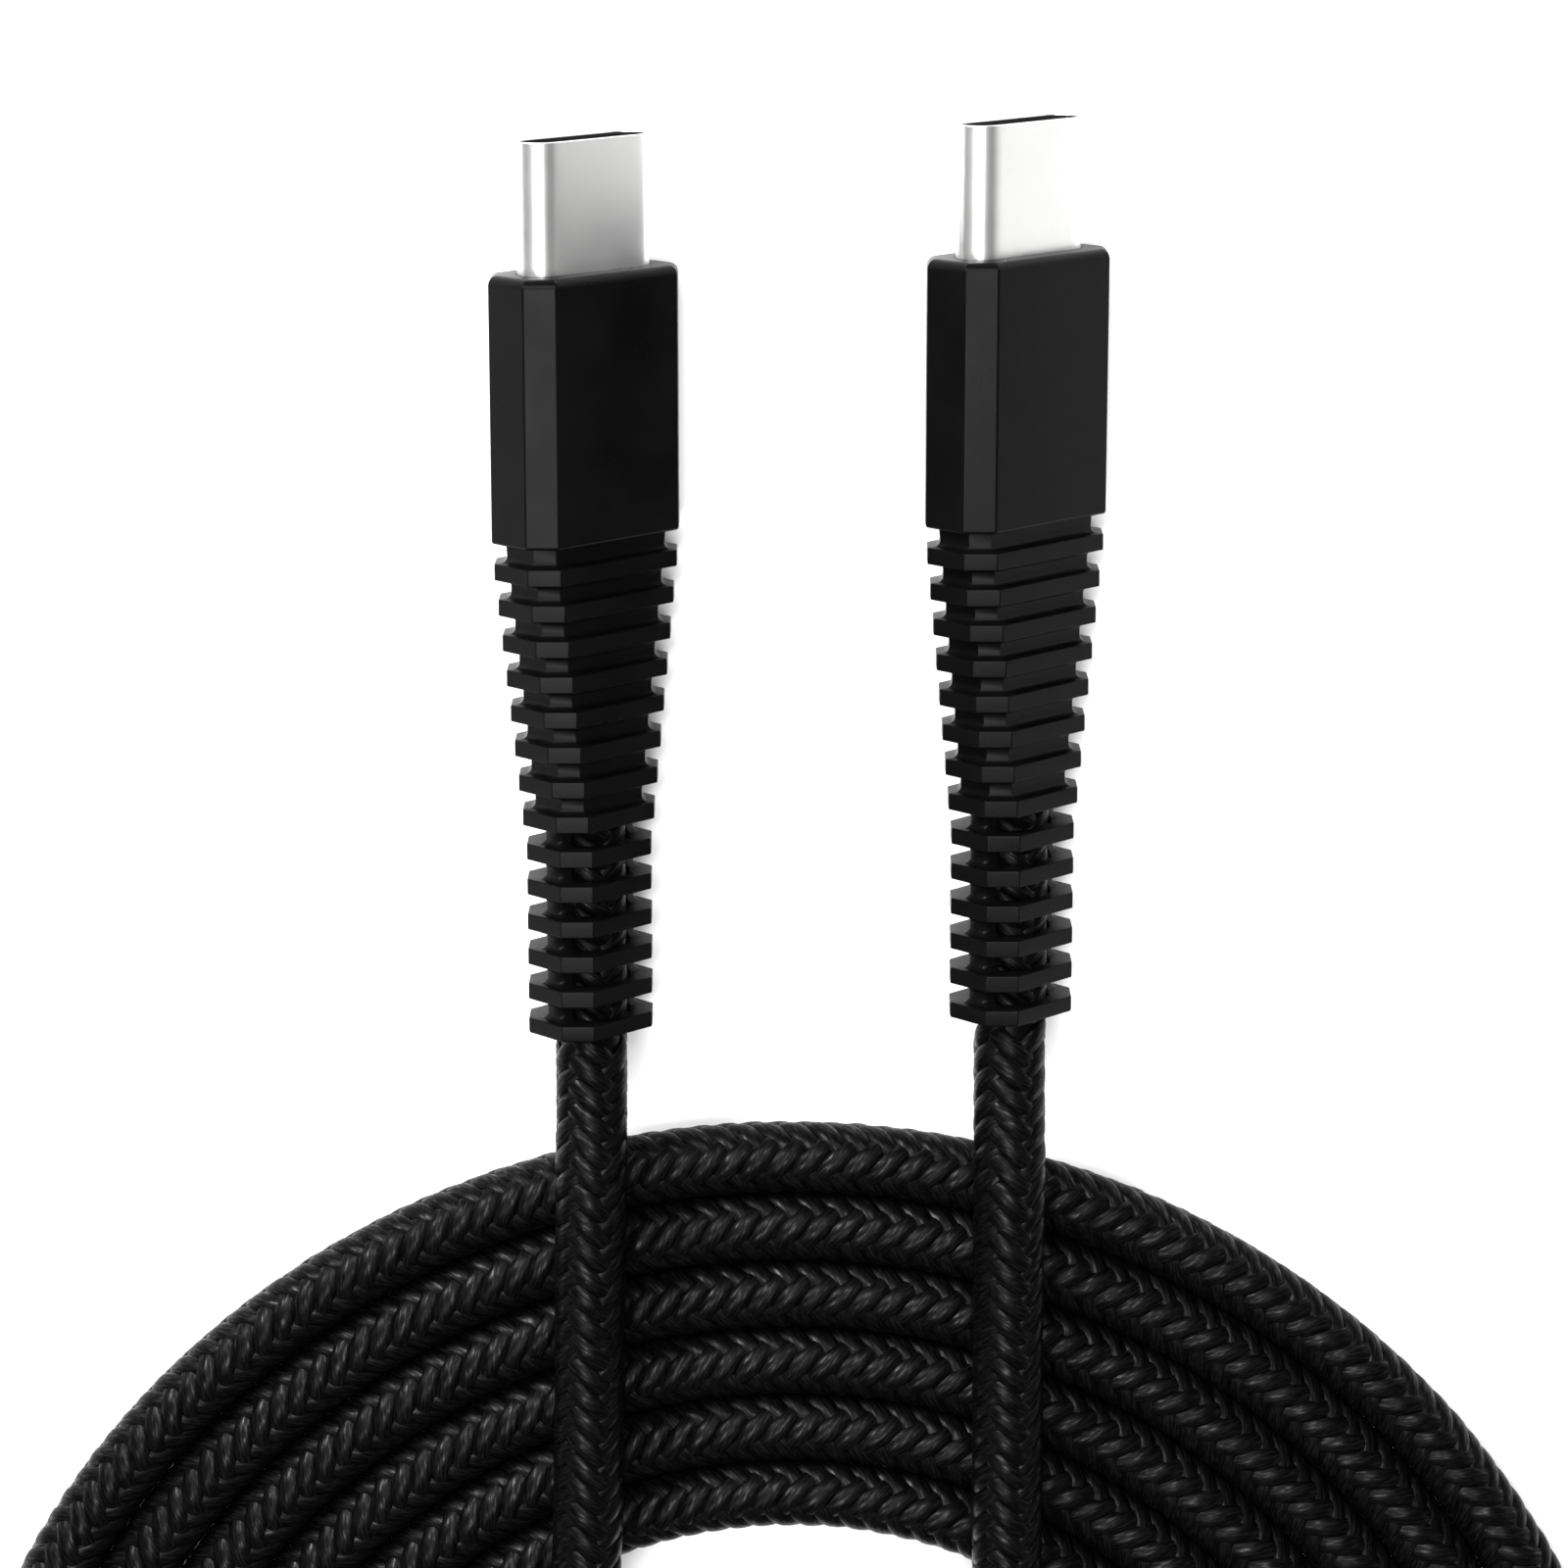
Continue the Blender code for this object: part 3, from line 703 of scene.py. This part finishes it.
def make_shell(side, look, liner):
    """Drawn metal shell with a rolled mouth; its outline has finely stepped round ends."""
    angles = np.linspace(0, 2 * math.pi, SHELL_POINTS, endpoint=False)
    guide_x = np.cos(angles) * SHELL_WIDTH
    guide_z = np.sin(angles) * SHELL_HEIGHT * SHELL_GUIDE_STRETCH
    guide = np.stack([guide_x, guide_z], axis=1)

    def outline(inset):
        return stadium_at(guide, SHELL_WIDTH - 2 * inset, SHELL_HEIGHT - 2 * inset)

    loops = [(-SHELL_HIDDEN, outline(0)), (0.0, outline(0))]
    roll = SHELL_LIP / 2
    for k in range(LIP_STEPS + 1):
        turn = math.pi * k / LIP_STEPS
        y = SHELL_REACH - roll + roll * math.sin(turn)
        loops.append((y, outline(roll * (1 - math.cos(turn)))))
    lined = len(loops) - 1
    loops.append((SHELL_REACH - SHELL_LIP_DEPTH, outline(SHELL_WALL)))
    loops.append((-SHELL_HIDDEN, outline(SHELL_WALL)))
    made = plug_piece("shell", side, [loft(loops, True)], look, "usb_shell")
    made.data.materials.append(liner)
    for face in made.data.polygons[lined * len(guide) :]:
        face.material_index = 1
    return made


def make_housing(side, look):
    """Octagonal grip with a well rounded front edge and a narrow one at the back."""
    loops = []
    for k in range(FRONT_ROUND_STEPS + 1):
        turn = math.pi / 2 * k / FRONT_ROUND_STEPS
        inset = FRONT_ROUND * (1 - math.sin(turn))
        loops.append((-FRONT_ROUND * (1 - math.cos(turn)), body_outline(inset)))
    for k in range(REAR_ROUND_STEPS + 1):
        turn = math.pi / 2 * k / REAR_ROUND_STEPS
        y = -HOUSING_LENGTH + REAR_ROUND * (1 - math.sin(turn))
        loops.append((y, body_outline(REAR_ROUND * (1 - math.cos(turn)))))
    guide = body_outline(0)
    loops.append((-HOUSING_LENGTH, circle_at(guide, WOVEN_BORE)))
    loops.append((-HOUSING_LENGTH + REAR_BORE_DEPTH, circle_at(guide, WOVEN_BORE)))
    hole = stadium_at(guide, SHELL_WIDTH + 2 * SHELL_FIT, SHELL_HEIGHT + 2 * SHELL_FIT)
    loops.append((-SHELL_SOCKET_DEPTH, hole))
    loops.append((0.0, hole))
    shapes = [loft(loops, True)]
    return plug_piece("housing_grip", side, shapes, look, "housing")


def body_outline(inset):
    return octagon(HOUSING_WIDTH, HOUSING_DEPTH, CHAMFER, BODY_ROUNDING, inset)


def rib_outline(index, inset=0.0):
    share = min(index, TAPER_RIBS - 1) / (TAPER_RIBS - 1)
    width = FIRST_RIB_WIDTH + (LAST_RIB_WIDTH - FIRST_RIB_WIDTH) * share
    return octagon(width, RIB_DEPTH, CHAMFER, RIB_ROUNDING, inset)


def rib_edges(index):
    """(front, rear) of one rib along y."""
    rear = -HOUSING_LENGTH - (index + 1) * RIB_PITCH
    return rear + RIB_LENGTH, rear


def make_relief(side, look):
    """Ribbed strain relief: a closed front part, then single ribs on two side webs."""
    shapes = []
    loops = [(-HOUSING_LENGTH - RELIEF_GAP, rib_outline(0, RELIEF_FRONT_INSET))]
    for i in range(FIRST_WINDOW_RIB):
        front, rear = rib_edges(i)
        for y, inset in NECK_TO_RIB:
            loops.append((front + y * MM, rib_outline(i, inset * MM)))
        for y, inset in reversed(NECK_TO_RIB):
            if i == FIRST_WINDOW_RIB - 1 and inset > EDGE_INSET:
                continue
            following = i + 1 if y > 0 else i
            loops.append((rear - y * MM, rib_outline(following, inset * MM)))
    guide = rib_outline(FIRST_WINDOW_RIB)
    last_rear = rib_edges(FIRST_WINDOW_RIB - 1)[1]
    loops.append((last_rear, circle_at(guide, WOVEN_BORE)))
    loops.append((last_rear + RELIEF_BORE_DEPTH, circle_at(guide, WOVEN_BORE)))
    loops.append((-HOUSING_LENGTH - RELIEF_GAP, circle_at(guide, WIRE_BORE)))
    shapes.append(loft(loops, True))
    for i in range(FIRST_WINDOW_RIB, RIB_COUNT):
        front, rear = rib_edges(i)
        edge = [(y, inset) for y, inset in NECK_TO_RIB if inset <= EDGE_INSET]
        loops = [(front + y * MM, rib_outline(i, inset * MM)) for y, inset in edge]
        tail = TAIL_ROUNDING if i == RIB_COUNT - 1 else 1.0
        for y, inset in reversed(edge):
            loops.append((rear - y * MM * tail, rib_outline(i, inset * MM * tail)))
        loops.append((rear, circle_at(guide, WOVEN_BORE + BORE_EASE)))
        loops.append((rear + BORE_EASE, circle_at(guide, WOVEN_BORE)))
        loops.append((front - BORE_EASE, circle_at(guide, WOVEN_BORE)))
        loops.append((front, circle_at(guide, WOVEN_BORE + BORE_EASE)))
        shapes.append(loft(loops, True))
        for hand in (1, -1):
            shapes.append(side_web(i, hand))
    return plug_piece("relief_ribs", side, shapes, look, "strain_relief")


def side_web(index, hand):
    """One web between two ribs, hollowed along its middle."""
    top = rib_edges(index - 1)[1] + WEB_OVERLAP
    bottom = rib_edges(index)[0] - WEB_OVERLAP
    half_width = LAST_RIB_WIDTH / 2
    inner = WOVEN_BORE - WEB_BORE_OVERLAP
    loops = []
    for k in range(WEB_STEPS + 1):
        share = k / WEB_STEPS
        flare = WEB_FLARE * (1 - math.sin(math.pi * share)) ** 2
        outer = half_width - (NECK_INSET - flare)
        half_height = WEB_HALF_HEIGHT + flare
        lower = [(outer - x * MM, z * MM - half_height) for x, z in WEB_SECTION]
        upper = [(x, -z) for x, z in reversed(lower)]
        root = half_height + WEB_ROOT_RISE
        points = np.array([(inner, -root), *lower, *upper, (inner, root)])
        points[:, 0] *= hand
        if hand < 0:
            points = points[::-1]
        loops.append((top + (bottom - top) * share, points))
    return loft(loops, False)


def make_inner_weave(side, look):
    """The woven cord seen through the windows, from inside the relief to its tail."""
    place = plug_place(side)
    tail = -HOUSING_LENGTH - RIB_COUNT * RIB_PITCH
    front = -HOUSING_LENGTH - FIRST_WINDOW_RIB * RIB_PITCH + INNER_WEAVE_FRONT
    line = []
    for k in range(INNER_WEAVE_STEPS + 1):
        y = tail + (front - tail) * k / INNER_WEAVE_STEPS - INNER_WEAVE_BACK
        line.append(tuple(place @ Vector((0, y, 0))))
    weave, _, _ = woven_cord(side + "_inner_weave", np.array(line))
    weave.data.materials.append(look)
    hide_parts(side + "_cord_end")
    return weave


def make_plug(side, looks):
    body = side + "_plug"
    shell = make_shell(side, looks["shell"], looks["insert"])
    housing = make_housing(side, looks["housing"])
    for made in (shell, housing):
        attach(made, body)
    relief = make_relief(side, looks["relief"])
    weave = make_inner_weave(side, looks["yarn"])
    for made in (relief, weave):
        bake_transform(made)
    for node, look in CARRIED.items():
        for material_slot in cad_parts[side + "_" + node].material_slots:
            material_slot.material = looks[look]


# Floor and lights.


def make_floor():
    bpy.ops.mesh.primitive_plane_add(size=FLOOR_SIZE, location=(0, 0, FLOOR_HEIGHT))
    floor = bpy.context.object
    floor.name = "floor"
    look = Look("floor_paint")
    shade = look.noise(look.coordinates(), 3, 2)
    look.feed(Base_Color=look.blend_colours(shade, FLOOR_DARKER, FLOOR_LIGHTER))
    look.set(Roughness=0.9, Specular_IOR_Level=0.1)
    floor.data.materials.append(look.material)


def area_light(name, place, target, size, power):
    data = bpy.data.lights.new(name, "AREA")
    data.shape = "RECTANGLE"
    data.size, data.size_y = size
    data.energy = power
    light = bpy.data.objects.new(name, data)
    bpy.context.scene.collection.objects.link(light)
    light.location = place
    light.rotation_euler = (Vector(target) - Vector(place)).to_track_quat("-Z", "Y").to_euler()


def make_lights():
    world = bpy.data.worlds.new("studio")
    bpy.context.scene.world = world
    world.use_nodes = True
    background = world.node_tree.nodes["Background"]
    background.inputs["Color"].default_value = (1, 1, 1, 1)
    background.inputs["Strength"].default_value = SKY_STRENGTH
    for name, place, target, size, power in LIGHTS:
        area_light(name, place, target, size, power)


make_camera()
looks = {
    "yarn": yarn_look(),
    "housing": moulded("housing_polymer", (0.0021, 0.0021, 0.0023), 0.3),
    "relief": moulded("relief_polymer", (0.002, 0.002, 0.0022), 0.31, 1.3),
    "shell": metal("plated_shell", (0.64, 0.64, 0.635), 0.34, (1, 0.05, 1), SHELL_MARK_DEPTH, 0.94),
    "insert": moulded("insert_polymer", (0.012, 0.012, 0.013), 0.5),
    "gold": metal("gold_contacts", (0.85, 0.66, 0.33), 0.25, (1, 0.1, 1)),
    "spring": metal("spring_metal", (0.6, 0.6, 0.6), 0.3, (1, 0.2, 1)),
    "board": moulded("board_mask", (0.01, 0.06, 0.03), 0.4),
    "chip": moulded("chip_epoxy", (0.01, 0.01, 0.01), 0.5),
    "can": metal("can_tin", (0.62, 0.63, 0.64), 0.35),
    "wire": moulded("wire_jacket", (0.4, 0.03, 0.02), 0.4),
    "ferrule": metal("ferrule_metal", (0.75, 0.56, 0.25), 0.33),
}
make_cord(looks["yarn"])
for side in SIDES:
    make_plug(side, looks)
make_floor()
make_lights()
bpy.context.scene.view_settings.view_transform = "Standard"
